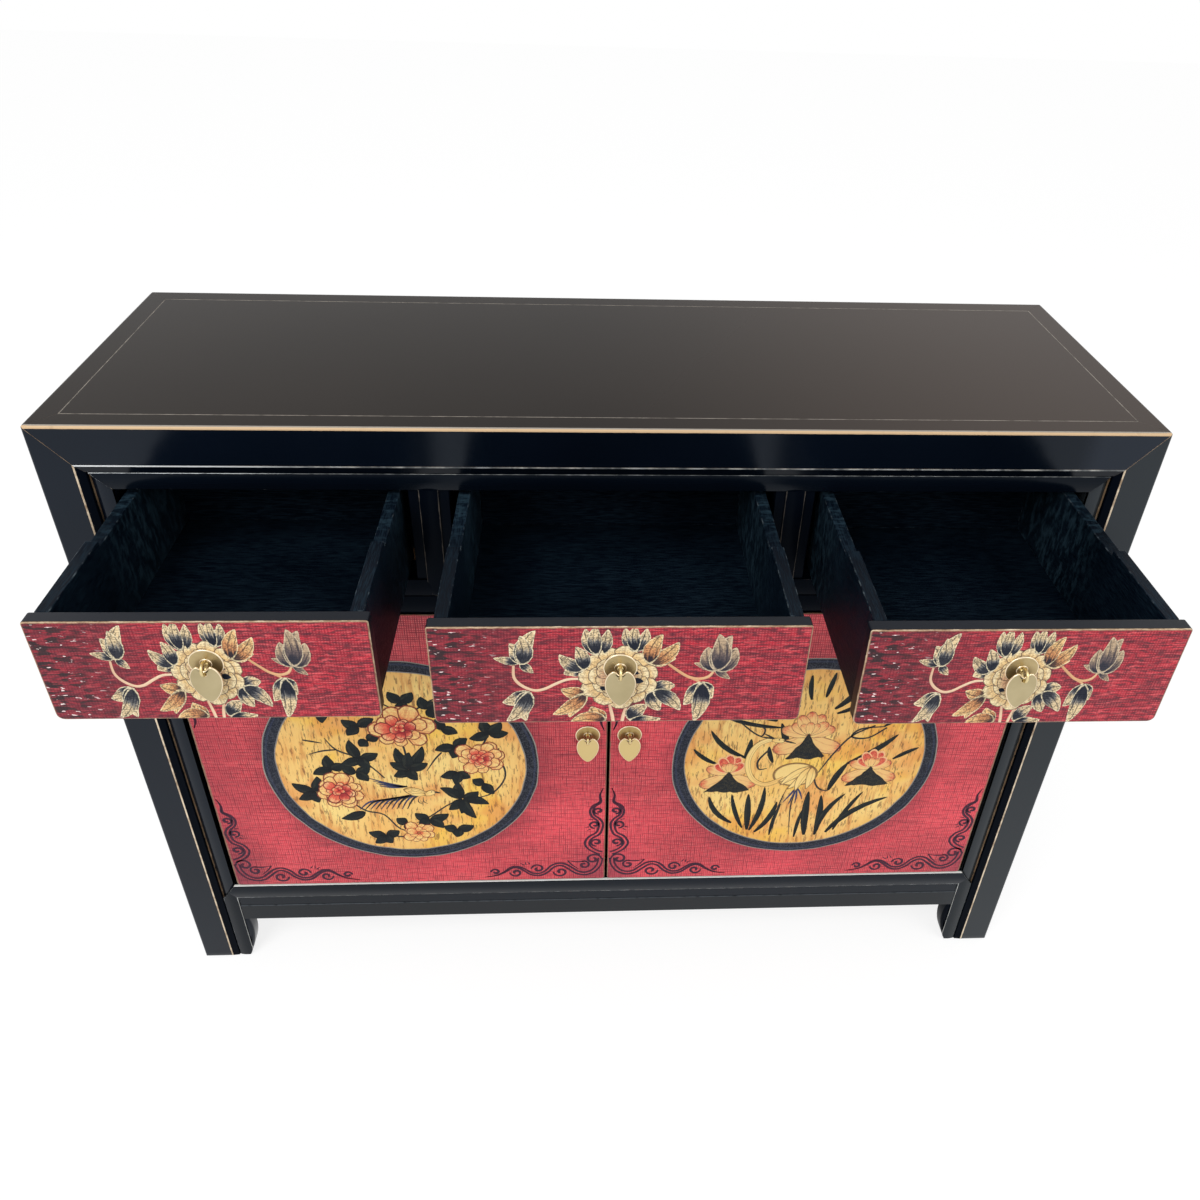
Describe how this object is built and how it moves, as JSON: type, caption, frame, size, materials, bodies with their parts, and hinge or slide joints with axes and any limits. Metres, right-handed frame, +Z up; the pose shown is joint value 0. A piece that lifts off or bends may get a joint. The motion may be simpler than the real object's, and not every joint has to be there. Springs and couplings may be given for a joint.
{
  "type": "buffet cabinet",
  "caption": "Lacquered buffet cabinet on hoof feet, with a row of drawers on slides over a pair of pivoting doors, and hanging pendant pulls.",
  "frame": {"origin": "on the floor, under the middle of the case (the drawers stand out of it at rest)", "axes": "+X to the right seen from the front, +Y towards the back, +Z up"},
  "size_m": [1.2, 0.6397, 0.892],
  "materials": {
    "black_lacquer": "worn satin black lacquer",
    "red_lacquer": "worn red lacquer with painted ornament",
    "drawer_black": "matt black stain",
    "bare_wood": "unfinished softwood",
    "brass": "dulled brass",
    "iron": "dark iron"
  },
  "bodies": {
    "carcass": {"leg_front_left": "black_lacquer", "leg_front_right": "black_lacquer", "leg_back_left": "black_lacquer", "leg_back_right": "black_lacquer", "top_rail_front": "black_lacquer", "top_rail_back": "black_lacquer", "top_rail_left": "black_lacquer", "top_rail_right": "black_lacquer", "top_panel": "black_lacquer", "top_battens": "bare_wood", "drawer_kickers": "bare_wood", "mid_rail": "black_lacquer", "mid_rail_back": "bare_wood", "divider_left": "black_lacquer", "divider_right": "black_lacquer", "bottom_rail_front": "black_lacquer", "bottom_rail_back": "black_lacquer", "bottom_rail_left": "black_lacquer", "bottom_rail_right": "black_lacquer", "apron_front": "black_lacquer", "apron_left": "black_lacquer", "apron_right": "black_lacquer", "side_panel_left": "black_lacquer", "side_panel_right": "black_lacquer", "back_panel": "bare_wood", "cupboard_floor": "bare_wood", "door_stop": "bare_wood", "runner_left": "bare_wood", "runner_right": "bare_wood", "runner_inner_left": "bare_wood", "runner_inner_right": "bare_wood"},
    "drawer_left": {"drawer_left_front": "red_lacquer", "drawer_left_sides": "drawer_black", "drawer_left_back": "drawer_black", "drawer_left_bottom": "drawer_black", "drawer_left_pull": "brass"},
    "drawer_middle": {"drawer_middle_front": "red_lacquer", "drawer_middle_sides": "drawer_black", "drawer_middle_back": "drawer_black", "drawer_middle_bottom": "drawer_black", "drawer_middle_pull": "brass"},
    "drawer_right": {"drawer_right_front": "red_lacquer", "drawer_right_sides": "drawer_black", "drawer_right_back": "drawer_black", "drawer_right_bottom": "drawer_black", "drawer_right_pull": "brass"},
    "pendant_drawer_left": {"drawer_left_pendant": "brass"},
    "pendant_drawer_middle": {"drawer_middle_pendant": "brass"},
    "pendant_drawer_right": {"drawer_right_pendant": "brass"},
    "door_left": {"door_left_panel": "red_lacquer", "door_left_ledges": "bare_wood", "door_left_pins": "iron", "door_left_pull": "brass"},
    "door_right": {"door_right_panel": "red_lacquer", "door_right_ledges": "bare_wood", "door_right_pins": "iron", "door_right_pull": "brass"},
    "pendant_door_left": {"door_left_pendant": "brass"},
    "pendant_door_right": {"door_right_pendant": "brass"}
  },
  "joints": [
    {"name": "drawer_left_slide", "type": "slide", "parent": "carcass", "child": "drawer_left", "axis": [0, -1, 0], "range_m": [-0.226, 0.054]},
    {"name": "drawer_middle_slide", "type": "slide", "parent": "carcass", "child": "drawer_middle", "axis": [0, -1, 0], "range_m": [-0.236, 0.044]},
    {"name": "drawer_right_slide", "type": "slide", "parent": "carcass", "child": "drawer_right", "axis": [0, -1, 0], "range_m": [-0.243, 0.037]},
    {"name": "door_left_hinge", "type": "hinge", "parent": "carcass", "child": "door_left", "pos_m": [-0.5165, -0.179, 0.4045], "axis": [0, 0, -1], "range_deg": [0, 110]},
    {"name": "door_right_hinge", "type": "hinge", "parent": "carcass", "child": "door_right", "pos_m": [0.5165, -0.179, 0.4045], "axis": [0, 0, 1], "range_deg": [0, 110]},
    {"name": "pendant_drawer_left_swing", "type": "hinge", "parent": "drawer_left", "child": "pendant_drawer_left", "pos_m": [-0.376, -0.4228, 0.7675], "axis": [-1, 0, 0], "range_deg": [-8, 85]},
    {"name": "pendant_drawer_middle_swing", "type": "hinge", "parent": "drawer_middle", "child": "pendant_drawer_middle", "pos_m": [0, -0.4328, 0.7675], "axis": [-1, 0, 0], "range_deg": [-8, 85]},
    {"name": "pendant_drawer_right_swing", "type": "hinge", "parent": "drawer_right", "child": "pendant_drawer_right", "pos_m": [0.376, -0.4398, 0.7675], "axis": [-1, 0, 0], "range_deg": [-8, 85]},
    {"name": "pendant_door_left_swing", "type": "hinge", "parent": "door_left", "child": "pendant_door_left", "pos_m": [-0.027, -0.1968, 0.4505], "axis": [-1, 0, 0], "range_deg": [-8, 85]},
    {"name": "pendant_door_right_swing", "type": "hinge", "parent": "door_right", "child": "pendant_door_right", "pos_m": [0.027, -0.1968, 0.4505], "axis": [-1, 0, 0], "range_deg": [-8, 85]}
  ]
}
